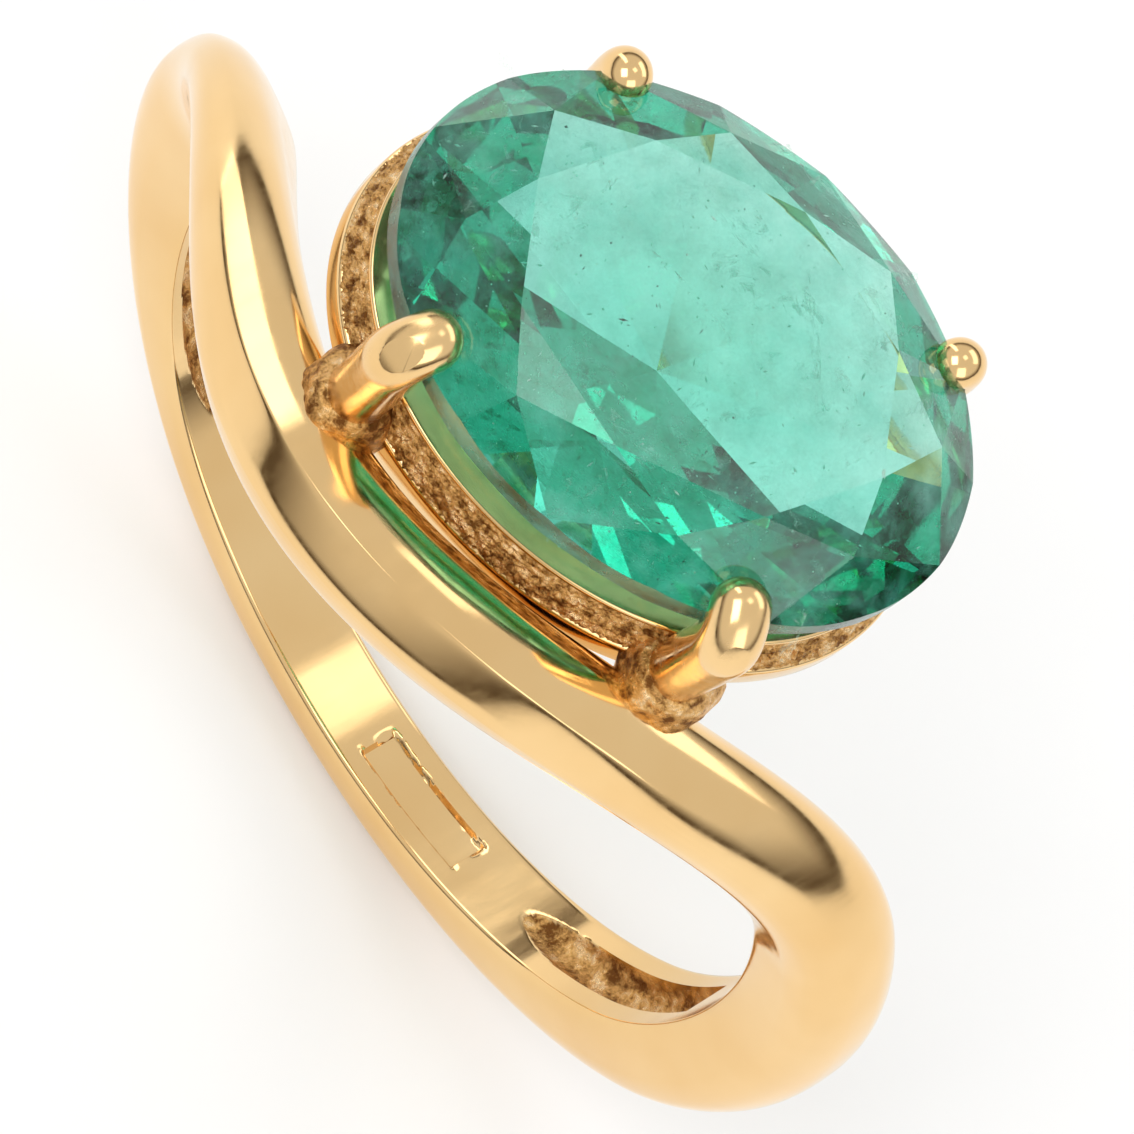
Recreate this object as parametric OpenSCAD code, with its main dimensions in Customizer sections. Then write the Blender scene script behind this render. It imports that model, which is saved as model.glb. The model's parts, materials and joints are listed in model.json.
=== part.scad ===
// Cocktail ring: a bypass shank in yellow gold with an oval emerald in a four-prong basket.
// Frame: millimetres, origin at the centre of the finger hole. The finger lies along Y.
// +Z goes up through the stone, +X runs across the hand. The near side of the ring is -Y.

/* [Finger hole] */
// Inside diameter of the shank
finger_diameter = 16.8; // [14:0.1:23]
// How much further out the finger wall lies under the swing of the band than at the back
swing_ease = 0.02; // [0.01:0.01:0.1]

/* [Band path] */
// How far the band swings towards -Y under the stone
crossing_offset = 5.25; // [2:0.05:8]
// Angle round the finger, measured from +X towards +Z, where the swing is largest
crossing_angle = 102.5; // [85:1:120]
// Angle over which the swing dies away on the +X side
right_sweep_angle = 79; // [50:1:100]
// Angle over which the swing dies away on the -X side
left_sweep_angle = 78; // [50:1:100]
// Small counter-swing of the +X shoulder towards +Y
right_shoulder_shift = 0.5; // [0:0.05:1]
// Angle of the middle of that counter-swing, measured like the crossing angle
right_shoulder_angle = 15; // [0:1:30]
// Small counter-swing of the -X shoulder towards +Y
left_shoulder_shift = 0.2; // [0:0.05:1]
// Angle over which the two counter-swings die away
shoulder_sweep_angle = 45; // [30:1:60]

/* [Band section] */
// Overall width of the band at the back of the finger
back_width = 1.75; // [1.2:0.05:4]
// Thickness of the band at the back of the finger
back_thickness = 1.1; // [0.8:0.05:2.5]
// Overall width of the band at the +X shoulder
right_shoulder_width = 2.2; // [1.4:0.05:5]
// Thickness of the band at the +X shoulder
right_shoulder_thickness = 2.1; // [1.2:0.05:3.5]
// Overall width of the band at the -X shoulder
left_shoulder_width = 1.45; // [1.4:0.05:5]
// Thickness of the band at the -X shoulder
left_shoulder_thickness = 2.4; // [1.2:0.05:3.5]
// Overall width of the band where it crosses under the stone
crossing_width = 2.1; // [1.2:0.05:4]
// Thickness of the band where it crosses under the stone
crossing_thickness = 1.6; // [1.2:0.05:3]
// Share of the overall width that is flat on the inside
inner_flat_share = 0.8; // [0.6:0.01:0.95]

/* [Casting relief] */
// Greatest width of the hollow groove inside each shoulder
relief_width = 0.9; // [0.3:0.05:1.4]
// Greatest depth of that groove
relief_depth = 0.7; // [0.2:0.05:1.5]
// Angle round the finger that one groove covers
relief_angle = 46; // [25:1:55]
// Angle below each shoulder where the wide end of the groove stops
relief_end_angle = 12; // [0:1:25]

/* [Blank punch] */
// Length of the unlettered punch pressed into the inside of the back
punch_length = 2.8; // [1:0.1:4]
// Width of the unlettered punch
punch_width = 0.8; // [0.3:0.05:1.2]
// Depth of the unlettered punch
punch_depth = 0.12; // [0.05:0.01:0.3]
// Angle round the finger where the punch sits
punch_angle = 287; // [240:1:300]

/* [Stone] */
// Length of the oval stone at the girdle
stone_length = 11.3; // [6:0.1:16]
// Width of the oval stone at the girdle
stone_width = 8.05; // [5:0.1:12]
// Height of the upper edge of the girdle over the upper rail
girdle_lift = 2.25; // [1.2:0.05:3.2]
// Thickness of the girdle
girdle_thickness = 0.7; // [0.2:0.05:0.9]
// Height of the crown over the girdle
crown_height = 1.25; // [0.6:0.05:2.5]
// Depth of the pavilion under the girdle
pavilion_depth = 2.95; // [1.5:0.05:4]
// Width of the table as a share of the width of the stone
table_share = 0.68; // [0.45:0.01:0.8]
// Angle of the long axis of the stone from +X towards +Y
stone_turn = 19; // [0:1:45]
// Offset of the middle of the stone along X
stone_x = -1.1; // [-3:0.05:3]
// Distance along Y from the middle of the band where it crosses to the middle of the stone
stone_setback = 5.55; // [2:0.05:7]

/* [Basket rails] */
// Gap between the finger and the bottom of the basket
basket_lift = 0.2; // [0.1:0.05:2]
// Gap between the two rails
rail_gap = 0.6; // [0.4:0.05:2]
// How far the outside of the upper rail is set in from the girdle
upper_rail_inset = 0.2; // [0.1:0.05:0.5]
// How far the outside of the lower rail stands out beyond the girdle
lower_rail_outset = 0.1; // [-0.4:0.05:0.3]
// Radial thickness of the two rails
rail_thickness = 0.65; // [0.4:0.05:0.9]
// Height of the section of the lower rail
lower_rail_section = 0.8; // [0.4:0.05:1.2]
// Height of the section of the upper rail
upper_rail_section = 0.3; // [0.25:0.05:1.2]
// How far the sloping wall between the rails is set back from the outside of each rail
wall_setback = 0.1; // [0.05:0.05:0.3]
// Thickness of the wall between the rails
wall_thickness = 0.4; // [0.2:0.05:0.5]

/* [Prongs] */
// Diameter of the two prongs that stand against the band
near_prong_diameter = 1.15; // [0.7:0.05:1.6]
// Diameter of the two prongs on the free side
far_prong_diameter = 0.95; // [0.7:0.05:1.6]
// Where the near prongs stand round the oval, as the angle before the circle is stretched to the oval
near_prong_angle = 53; // [30:0.5:60]
// Where the far prongs stand round the oval, as the same angle
far_prong_angle = 48; // [30:0.5:60]
// How far the axes of the near prongs stand outside the girdle at its height
near_prong_outset = 0.49; // [0:0.01:0.6]
// How far the axes of the far prongs stand outside the girdle at its height
far_prong_outset = 0.02; // [0:0.01:0.3]
// How far the prongs lean in from the girdle down to the bottom of the basket
prong_lean = 0.3; // [0:0.05:0.6]
// How far the prong tips stand over the girdle
prong_rise = 0.55; // [0.3:0.05:1.2]
// Length of the claws of the near prongs, which turn in over the crown
near_claw_reach = 0.55; // [0.2:0.05:1]
// Length of the claws of the far prongs
far_claw_reach = 0.15; // [0.1:0.05:1]
// How far the prongs reach below the basket
prong_foot = 0.1; // [0:0.05:0.3]

/* [Solder] */
// How far the lump of solder spreads beyond the prong
solder_spread = 0.35; // [0.1:0.05:0.6]
// How far the middle of the lump lies below the top of the band
solder_drop = 0.85; // [0.4:0.05:1.2]

/* [Fits] */
// Clearance of the stone in the prong notches
stone_clearance = 0.02; // [0.01:0.01:0.1]
// Clearance of the prongs in the rails and sockets
joint_clearance = 0.01; // [0.005:0.005:0.05]

/* [Hidden] */
// Radius of the finger hole
finger_radius = finger_diameter / 2;
// Stations round the band and round the oval rings
band_steps = 96;
oval_steps = 64;
// Angles round the finger between which the section of the band changes or stays the same
right_hold_end = 10;
crossing_start = crossing_angle - 40;
crossing_end = crossing_angle + 15;
left_hold_start = 165;
left_hold_end = 178;
back_start = 230;
back_end = 260;
// Share of the thickness at which the band is widest
widest_share = 0.42;
// How much sharper than an ellipse the outside of the band is
ridge_power = 0.85;
// How far the swept band reaches inside the finger hole before the hole is cut
bore_overlap = 0.3;
// How far the cutter of the punch reaches inside the finger hole
punch_overlap = 0.3;
// Facets of the round parts, of the finger hole and of the grooves
round_facets = 48;
hole_facets = 180;
groove_facets = 96;
// Angle of the ring that cuts a groove, which leaves the metal before it ends
relief_cutter_angle = 85;
// Size of the knuckle of a prong, of its claw and of the tip of the claw, as shares of its radius
knuckle_share = 1.04;
claw_share = 0.9;
tip_share = 0.96;
// Rise of the claw for each mm that it reaches in
claw_slope = 0.2;
// Spread of the star facets beyond the line from the table to the girdle
star_spread = 1.02;
// How far out the lower halves of the pavilion reach towards the culet, as a share of the width
lower_half_share = 0.24;
// Half sizes of the stone
stone_a = stone_length / 2;
stone_b = stone_width / 2;
// Middle of the stone along Y
stone_y = stone_setback - crossing_offset;
// Top of the band where it crosses under the stone
crossing_top = finger_radius + crossing_thickness;
// Bottom of the basket
basket_bottom = finger_radius + basket_lift;
// Heights of the middles of the two rails
lower_rail_height = basket_bottom + lower_rail_section / 2;
upper_rail_height = lower_rail_height + (lower_rail_section + upper_rail_section) / 2 + rail_gap;
// Height of the upper edge of the girdle
girdle_height = upper_rail_height + upper_rail_section / 2 + girdle_lift;
// Outside sizes of the two rails
lower_rail_length = stone_length + 2 * lower_rail_outset;
lower_rail_width = stone_width + 2 * lower_rail_outset;
upper_rail_length = stone_length - 2 * upper_rail_inset;
upper_rail_width = stone_width - 2 * upper_rail_inset;
// Height at which the claws turn in
claw_height = girdle_height + prong_rise - near_prong_diameter / 4;

// ---------- general shapes ----------

// Angle from a to b, brought into the range -180 to 180
function turn(a, b) = (((b - a + 180) % 360) + 360) % 360 - 180;

// A smooth bump of height 1 at angle 0 that dies away at the given sweep
function bump(angle, sweep) = abs(angle) >= sweep ? 0 : pow(cos(90 * angle / sweep), 2);

// A value eased from v0 to v1 as t goes from 0 to 1
function ease(v0, v1, t) = v0 + (v1 - v0) * (1 - cos(180 * t)) / 2;

// Position along Y of the middle of the band at an angle round the finger
function band_y(q) =
    -crossing_offset * bump(turn(crossing_angle, q),
        turn(crossing_angle, q) < 0 ? right_sweep_angle : left_sweep_angle)
    + right_shoulder_shift * bump(turn(right_shoulder_angle, q), shoulder_sweep_angle)
    + left_shoulder_shift * bump(turn(180, q), shoulder_sweep_angle);

// Slope of the middle of the band, in mm along Y for each mm round the finger
function band_slope(q) =
    (band_y(q + 1) - band_y(q - 1)) / (2 * (finger_radius + crossing_thickness / 2) * PI / 180);

// A size of the band that has one value at the back, at each shoulder and at the crossing
function band_size(q, back, right, crossing, left) =
    let (a = ((q % 360) + 360) % 360)
    a < right_hold_end ? right
    : a < crossing_start ? ease(right, crossing, (a - right_hold_end) / (crossing_start - right_hold_end))
    : a < crossing_end ? crossing
    : a < left_hold_start ? ease(crossing, left, (a - crossing_end) / (left_hold_start - crossing_end))
    : a < left_hold_end ? left
    : a < back_start ? ease(left, back, (a - left_hold_end) / (back_start - left_hold_end))
    : a < back_end ? back
    : ease(back, right, (a - back_end) / (360 - back_end));

function band_width(q) =
    band_size(q, back_width, right_shoulder_width, crossing_width, left_shoulder_width);
function band_thickness(q) =
    band_size(q, back_thickness, right_shoulder_thickness, crossing_thickness,
        left_shoulder_thickness);

// A point at height h over the finger and n across the band, at an angle round the finger
function band_point(q, n, h) =
    let (s = band_slope(q), c = 1 / sqrt(1 + s * s))
    [
        (finger_radius + h) * cos(q) + n * s * c * sin(q),
        band_y(q) + n * c,
        (finger_radius + h) * sin(q) - n * s * c * cos(q)
    ];

// The section of the band as [across, height] pairs: flat inside, softly ridged outside
function band_section(w, t) =
    let (b = w / 2, f = b * inner_flat_share, m = widest_share * t)
    concat(
        [[f, -bore_overlap]],
        [for (k = [1:3]) [f + (b - f) * sin(30 * k), m * (1 - cos(30 * k))]],
        [for (k = [1:7]) [
            b * sign(cos(22.5 * k)) * pow(abs(cos(22.5 * k)), ridge_power),
            m + (t - m) * pow(sin(22.5 * k), ridge_power)]],
        [for (k = [3:-1:1]) [-f - (b - f) * sin(30 * k), m * (1 - cos(30 * k))]],
        [[-f, -bore_overlap]]
    );

// A closed ring of sections joined by triangles
module closed_sweep(sections) {
    n = len(sections);
    m = len(sections[0]);
    polyhedron(
        points = [for (s = sections) for (p = s) p],
        faces = [for (i = [0:n - 1]) for (j = [0:m - 1])
            let (i2 = (i + 1) % n, j2 = (j + 1) % m)
            for (f = [[i * m + j, i * m + j2, i2 * m + j], [i * m + j2, i2 * m + j2, i2 * m + j]]) f],
        convexity = 10);
}

// Moves the basket and the stone into place over the finger
module on_head() {
    translate([stone_x, stone_y, 0])
        rotate([0, 0, stone_turn])
            children();
}

// ---------- shank ----------

// The band before anything is cut from it
module band_body() {
    closed_sweep([for (i = [0:band_steps - 1])
        let (q = i * 360 / band_steps)
        [for (p = band_section(band_width(q), band_thickness(q))) band_point(q, p[0], p[1])]]);
}

// The finger hole, eased over the arc where the band swings aside
module finger_cutter() {
    reach = 4 * finger_radius;
    rotate([90, 0, 0]) {
        cylinder(r = finger_radius, h = reach, center = true, $fn = hole_facets);
        rotate([0, 0, crossing_angle - right_sweep_angle])
            rotate_extrude(angle = right_sweep_angle + left_sweep_angle, $fn = hole_facets)
                translate([0, -reach / 2])
                    square([finger_radius + swing_ease, reach]);
    }
}

// One hollow groove inside a shoulder, cut by a ring whose middle is moved towards the wide end.
// The groove so starts as a point on the finger wall and is deepest where it stops.
module relief_groove(q_end, side) {
    shift = relief_depth / (1 - cos(relief_angle));
    ring = finger_radius + relief_depth - relief_width / 2 - shift;
    rotate([0, -q_end, 0])
        translate([shift, 0, 0])
            rotate([90, 0, 0])
                rotate([0, 0, side > 0 ? 0 : -relief_cutter_angle])
                    rotate_extrude(angle = relief_cutter_angle, $fn = groove_facets)
                        translate([ring, 0])
                            circle(d = relief_width, $fn = round_facets);
}

// The unlettered punch on the inside of the back
module punch() {
    rotate([0, -punch_angle, 0])
        translate([finger_radius + (punch_depth - punch_overlap) / 2, 0, 0])
            cube([punch_depth + punch_overlap, punch_width, punch_length], center = true);
}

module shank() {
    color([0.87, 0.68, 0.36])
        difference() {
            band_body();
            finger_cutter();
            relief_groove(360 - relief_end_angle, -1);
            relief_groove(180 + relief_end_angle, 1);
            punch();
            on_head()
                for (s = [-1, 1])
                    prong_shaft(s, -1, near_prong_diameter / 2 + joint_clearance);
        }
}

// ---------- basket ----------

// A ring round an oval of the given size. Its section is a list of [outwards, height] points.
module oval_sweep(length, width, section) {
    closed_sweep([for (i = [0:oval_steps - 1])
        let (
            q = i * 360 / oval_steps,
            a = length / 2,
            b = width / 2,
            nx = b * cos(q),
            ny = a * sin(q),
            nl = sqrt(nx * nx + ny * ny))
        [for (p = section) [a * cos(q) + p[0] * nx / nl, b * sin(q) + p[0] * ny / nl, p[1]]]]);
}

// One rail with bevelled corners and a flat top and bottom
module oval_ring(length, width, thickness, height, z) {
    corners = [[1, 0.4], [0.65, 1], [-0.65, 1], [-1, 0.4], [-1, -0.4], [-0.65, -1], [0.65, -1], [1, -0.4]];
    oval_sweep(length, width,
        [for (c = corners) [(c[0] - 1) * thickness / 2, z + c[1] * height / 2]]);
}

// How far the axis of a prong stands outside the girdle at its height, and where round the oval
function prong_outset(sy) = sy < 0 ? near_prong_outset : far_prong_outset;
function prong_angle(sy) = sy < 0 ? near_prong_angle : far_prong_angle;

// Where the axis of a prong passes the girdle, seen from above in the frame of the stone
function prong_top(sx, sy) = [
    sx * (stone_a + prong_outset(sy)) * cos(prong_angle(sy)),
    sy * (stone_b + prong_outset(sy)) * sin(prong_angle(sy))];

// Direction outwards from the girdle at a prong
function prong_outward(sx, sy) =
    let (v = [sx * cos(prong_angle(sy)) * stone_b, sy * sin(prong_angle(sy)) * stone_a])
    v / norm(v);

// Where the axis of a prong passes a height
function prong_at(sx, sy, z) =
    let (
        t = (claw_height - z) / (claw_height - basket_bottom),
        p = prong_top(sx, sy) - prong_lean * t * prong_outward(sx, sy))
    [p[0], p[1], z];

// A round rod between two points
module rod(p, q, r) {
    v = q - p;
    translate(p)
        rotate([0, acos(v[2] / norm(v)), atan2(v[1], v[0])])
            cylinder(r = r, h = norm(v), $fn = round_facets);
}

// The round shaft of a prong from its foot up to the claw
module prong_shaft(sx, sy, r) {
    rod(prong_at(sx, sy, basket_bottom - prong_foot), prong_at(sx, sy, claw_height), r);
}

// The four shafts, grown by the joint clearance, as a cutter for the rails and the wall
module prong_cutters() {
    for (sx = [-1, 1]) {
        prong_shaft(sx, -1, near_prong_diameter / 2 + joint_clearance);
        prong_shaft(sx, 1, far_prong_diameter / 2 + joint_clearance);
    }
}

module lower_gallery_rail() {
    color([0.85, 0.65, 0.33])
        on_head()
            difference() {
                oval_ring(lower_rail_length, lower_rail_width, rail_thickness,
                    lower_rail_section, lower_rail_height);
                prong_cutters();
            }
}

module upper_gallery_rail() {
    color([0.90, 0.71, 0.42])
        on_head()
            difference() {
                oval_ring(upper_rail_length, upper_rail_width, rail_thickness,
                    upper_rail_section, upper_rail_height);
                prong_cutters();
            }
}

// The wall slopes out from under the upper rail down to the lower rail
module wall_ring() {
    low = lower_rail_height + lower_rail_section / 2;
    high = upper_rail_height - upper_rail_section / 2;
    out_low = -wall_setback;
    out_high = (upper_rail_width - lower_rail_width) / 2 - wall_setback;
    oval_sweep(lower_rail_length, lower_rail_width, [
        [out_low, low],
        [out_high, high],
        [out_high - wall_thickness, high],
        [out_low - wall_thickness, low]]);
}

module gallery_wall() {
    color([0.72, 0.50, 0.22])
        on_head()
            difference() {
                wall_ring();
                prong_cutters();
            }
}

// A prong with its claw turned in over the crown and a notch for the girdle
module prong(sx, sy, diameter, reach) {
    r = diameter / 2;
    bend = prong_at(sx, sy, claw_height);
    inward = -prong_outward(sx, sy);
    tip = bend + [inward[0] * reach, inward[1] * reach, claw_slope * reach];
    on_head()
        difference() {
            union() {
                prong_shaft(sx, sy, r);
                translate(bend)
                    sphere(r = r * knuckle_share, $fn = round_facets);
                rod(bend, tip, r * claw_share);
                translate(tip)
                    sphere(r = r * tip_share, $fn = round_facets);
            }
            stone_body(stone_clearance);
        }
}

module prong_near_left() {
    color([0.93, 0.76, 0.47])
        prong(-1, -1, near_prong_diameter, near_claw_reach);
}

module prong_near_right() {
    color([0.93, 0.76, 0.47])
        prong(1, -1, near_prong_diameter, near_claw_reach);
}

module prong_far_left() {
    color([0.93, 0.76, 0.47])
        prong(-1, 1, far_prong_diameter, far_claw_reach);
}

module prong_far_right() {
    color([0.93, 0.76, 0.47])
        prong(1, 1, far_prong_diameter, far_claw_reach);
}

// The two lumps of solder where the near prongs meet the band
module solder_fillets() {
    r = near_prong_diameter / 2;
    color([0.80, 0.60, 0.30])
        difference() {
            on_head()
                for (s = [-1, 1])
                    translate(prong_at(s, -1, crossing_top - solder_drop))
                        sphere(r = r + solder_spread, $fn = round_facets);
            band_body();
            finger_cutter();
            on_head() {
                for (s = [-1, 1])
                    prong_shaft(s, -1, r + joint_clearance);
                oval_ring(lower_rail_length, lower_rail_width, rail_thickness,
                    lower_rail_section, lower_rail_height);
                wall_ring();
            }
        }
}

// ---------- stone ----------

// Height on the plane through three points, at x and y
function plane_height(p, q, r, x, y) =
    let (n = cross(q - p, r - p))
    p[2] - (n[0] * (x - p[0]) + n[1] * (y - p[1])) / n[2];

// The oval cut: table, stars, kites and upper halves over the girdle, mains and lower halves below.
// It is drawn on a circle of radius 1 and stretched to the oval, which keeps every facet flat.
module stone_body(grow) {
    steps = 64;
    per = steps / 16;
    star_radius = (table_share * cos(22.5) + 1) / 2 * star_spread;
    star_z = crown_height * (1 - star_radius * cos(22.5)) / (1 - table_share);
    half_radius = lower_half_share;
    half_z = -pavilion_depth * (1 - half_radius * cos(22.5));
    top_pts = [for (i = [0:steps - 1])
        let (
            q = i * 360 / steps,
            k = floor(i / per),
            g0 = [cos(22.5 * k), sin(22.5 * k), 0],
            g1 = [cos(22.5 * (k + 1)), sin(22.5 * (k + 1)), 0],
            j = k % 2 == 0 ? 22.5 * (k + 1) : 22.5 * k,
            c = [star_radius * cos(j), star_radius * sin(j), star_z])
        [cos(q), sin(q), plane_height(g0, g1, c, cos(q), sin(q))]];
    low_pts = [for (i = [0:steps - 1])
        let (
            q = i * 360 / steps,
            k = floor(i / per),
            g0 = [cos(22.5 * k), sin(22.5 * k), 0],
            g1 = [cos(22.5 * (k + 1)), sin(22.5 * (k + 1)), 0],
            j = k % 2 == 0 ? 22.5 * (k + 1) : 22.5 * k,
            c = [half_radius * cos(j), half_radius * sin(j), half_z])
        [cos(q), sin(q), plane_height(g0, g1, c, cos(q), sin(q)) - girdle_thickness]];
    table_pts = [for (i = [0:7])
        [table_share * cos(45 * i), table_share * sin(45 * i), crown_height]];
    star_pts = [for (i = [0:7])
        [star_radius * cos(45 * i + 22.5), star_radius * sin(45 * i + 22.5), star_z]];
    half_pts = [for (i = [0:7])
        [half_radius * cos(45 * i + 22.5), half_radius * sin(45 * i + 22.5),
            half_z - girdle_thickness]];
    culet = [[0, 0, -pavilion_depth - girdle_thickness]];
    unit = concat(top_pts, low_pts, table_pts, star_pts, half_pts, culet);
    pts = [for (p = unit) [p[0] * (stone_a + grow), p[1] * (stone_b + grow),
        girdle_height + p[2] + grow * sign(p[2] + girdle_thickness / 2)]];
    t0 = 2 * steps;
    s0 = t0 + 8;
    h0 = s0 + 8;
    c0 = h0 + 8;
    faces = concat(
        [[for (i = [7:-1:0]) t0 + i]],
        [for (i = [0:7]) [t0 + i, t0 + (i + 1) % 8, s0 + i]],
        [for (i = [0:7]) [t0 + i, s0 + i, i * 2 * per, s0 + (i + 7) % 8]],
        [for (i = [0:7]) concat([s0 + i],
            [for (k = [per:-1:0]) (i * 2 * per + k) % steps])],
        [for (i = [0:7]) concat([s0 + i],
            [for (k = [2 * per:-1:per]) (i * 2 * per + k) % steps])],
        [for (i = [0:steps - 1]) [i, (i + 1) % steps, steps + (i + 1) % steps, steps + i]],
        [for (i = [0:7]) concat([h0 + i],
            [for (k = [0:per]) steps + (i * 2 * per + k) % steps])],
        [for (i = [0:7]) concat([h0 + i],
            [for (k = [per:2 * per]) steps + (i * 2 * per + k) % steps])],
        [for (i = [0:7]) [c0, h0 + (i + 7) % 8, steps + i * 2 * per, h0 + i]]);
    polyhedron(points = pts, faces = faces, convexity = 4);
}

module emerald() {
    color([0.16, 0.62, 0.45, 0.8])
        on_head()
            stone_body(0);
}

// ---------- assembly ----------

shank();
lower_gallery_rail();
gallery_wall();
upper_gallery_rail();
prong_near_left();
prong_near_right();
prong_far_left();
prong_far_right();
solder_fillets();
emerald();
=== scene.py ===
"""Looks of the cocktail ring: a bypass band in polished yellow gold under an oval emerald.

Everything is in metres in the frame of the CAD model: origin at the centre of the finger hole,
the finger along Y, +Z up through the stone, +X across the hand. Sizes below are in millimetres
and are turned into metres by MM when a mesh is made.
"""

import json
import math
import random

import bmesh
import bpy
import numpy as np
from mathutils import Matrix, Vector, noise


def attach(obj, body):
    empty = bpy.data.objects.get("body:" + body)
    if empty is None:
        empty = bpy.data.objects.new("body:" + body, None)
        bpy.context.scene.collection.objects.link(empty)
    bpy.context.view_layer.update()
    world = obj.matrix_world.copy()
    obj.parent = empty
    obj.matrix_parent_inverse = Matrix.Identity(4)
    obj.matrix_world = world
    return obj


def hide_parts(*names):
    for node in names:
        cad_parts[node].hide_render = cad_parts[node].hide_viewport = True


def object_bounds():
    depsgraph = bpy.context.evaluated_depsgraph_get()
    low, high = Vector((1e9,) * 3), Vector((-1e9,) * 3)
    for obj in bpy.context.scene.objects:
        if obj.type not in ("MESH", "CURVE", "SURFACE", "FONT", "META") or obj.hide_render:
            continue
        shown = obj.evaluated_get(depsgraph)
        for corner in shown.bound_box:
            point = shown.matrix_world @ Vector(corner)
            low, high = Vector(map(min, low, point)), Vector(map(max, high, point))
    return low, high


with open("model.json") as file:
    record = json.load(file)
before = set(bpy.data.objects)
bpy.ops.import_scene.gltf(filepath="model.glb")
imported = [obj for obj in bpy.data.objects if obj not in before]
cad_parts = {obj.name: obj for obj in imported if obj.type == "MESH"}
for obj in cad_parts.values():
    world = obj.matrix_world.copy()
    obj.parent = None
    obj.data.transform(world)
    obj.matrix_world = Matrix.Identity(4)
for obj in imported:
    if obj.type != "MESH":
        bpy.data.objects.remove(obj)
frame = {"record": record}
cad_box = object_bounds()
MM = 0.001

# ---------- driving sizes, in mm and degrees ----------

FINGER_RADIUS = frame["record"]["mounts"][0]["dims"]["r_mm"]
CROSSING_OFFSET, CROSSING_ANGLE = 5.25, 102.5
RIGHT_SWEEP, LEFT_SWEEP = 79.0, 78.0
RIGHT_SHIFT, RIGHT_SHIFT_ANGLE = 0.5, 15
LEFT_SHIFT, LEFT_SHIFT_ANGLE = 0.2, 180
SHIFT_SWEEP = 45
RIGHT_END, CROSSING_START, CROSSING_END = 10, CROSSING_ANGLE - 40, CROSSING_ANGLE + 15
LEFT_START, LEFT_END, BACK_START, BACK_END = 165, 178, 230, 260
RIDGE_START, RIDGE_START_SWEEP, RIDGE_END, RIDGE_END_SWEEP = 50, 25, 112, 35
BACK, RIGHT, CROSSING, LEFT = (1.75, 1.1), (2.2, 2.1), (2.1, 1.6), (1.45, 2.4)  # width, thickness
INNER_FLAT, WIDEST = 0.8, 0.42
RELIEF_WIDTH, RELIEF_DEPTH, RELIEF_ANGLE, RELIEF_END = 0.9, 0.7, 46.0, 12.0
PUNCH_LENGTH, PUNCH_WIDTH, PUNCH_DEPTH, PUNCH_ANGLE = 2.8, 0.8, 0.12, 287.0
STONE_A, STONE_B = 5.65, 4.025
CROWN, GIRDLE, PAVILION, TABLE = 1.25, 0.7, 2.95, 0.68
STAR_SPREAD, LOWER_HALF_SHARE = 1.02, 0.24
STONE_TURN, STONE_X, STONE_Y = 19.0, -1.1, 0.3
BASKET_LIFT, GIRDLE_LIFT, PRONG_RISE = 0.2, 2.25, 0.55
BASKET_BOTTOM = FINGER_RADIUS + BASKET_LIFT
LOWER_RAIL, UPPER_RAIL, RAIL_GAP, RAIL_THICKNESS = 0.8, 0.3, 0.6, 0.65
LOWER_OUTSET, UPPER_INSET, UPPER_LIP, WALL_THICKNESS = 0.1, 0.2, 0.16, 0.4
SOLDER_SPREAD, SOLDER_DROP = 0.35, 0.85
LOW_CORNER, HIGH_CORNER, WALL_OVERLAP, WALL_SETBACK = 0.12, 0.06, 0.05, 0.04
GIRDLE_Z = BASKET_BOTTOM + LOWER_RAIL + RAIL_GAP + UPPER_RAIL + GIRDLE_LIFT
NEAR_PRONG, FAR_PRONG = 1.15, 0.95
NEAR_REACH, FAR_REACH = 0.55, 0.15
NEAR_OUTSET, NEAR_ANGLE, FAR_OUTSET, FAR_ANGLE = 0.49, 53, 0.02, 48
PRONG_LEAN, PRONG_FOOT, CLAW_SLOPE = 0.3, 0.1, 0.2
CLAW_Z = GIRDLE_Z + PRONG_RISE - NEAR_PRONG / 4
HEAD = Matrix.Translation((STONE_X, STONE_Y, 0)) @ Matrix.Rotation(math.radians(STONE_TURN), 4, "Z")


def sind(a):
    return math.sin(math.radians(a))


def cosd(a):
    return math.cos(math.radians(a))


# ---------- meshes ----------


def make_object(name, points, faces, materials, smooth=True, sharp=None):
    """A closed mesh from points in mm, with its normals outwards."""
    mesh = bpy.data.meshes.new(name)
    mesh.from_pydata([tuple(MM * c for c in p) for p in points], [], faces)
    bm = bmesh.new()
    bm.from_mesh(mesh)
    bmesh.ops.recalc_face_normals(bm, faces=bm.faces)
    for f in bm.faces:
        f.smooth = smooth
    bm.to_mesh(mesh)
    bm.free()
    for m in materials:
        mesh.materials.append(m)
    if sharp:
        mesh.set_sharp_from_angle(angle=math.radians(sharp))
    obj = bpy.data.objects.new(name, mesh)
    bpy.context.scene.collection.objects.link(obj)
    return obj


def loop_faces(rings, around, closed=True):
    """Faces between rings of points, each ring closed; the last ring joins the first if closed."""
    last = rings if closed else rings - 1
    return [
        (i * around + j, i * around + (j + 1) % around,
         (i + 1) % rings * around + (j + 1) % around, (i + 1) % rings * around + j)
        for i in range(last) for j in range(around)
    ]


def finish_piece(obj, nodes):
    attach(obj, "root")
    if nodes:
        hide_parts(*nodes)
    return obj


def on_head(p):
    return tuple(HEAD @ Vector(p))


# ---------- materials ----------


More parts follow.
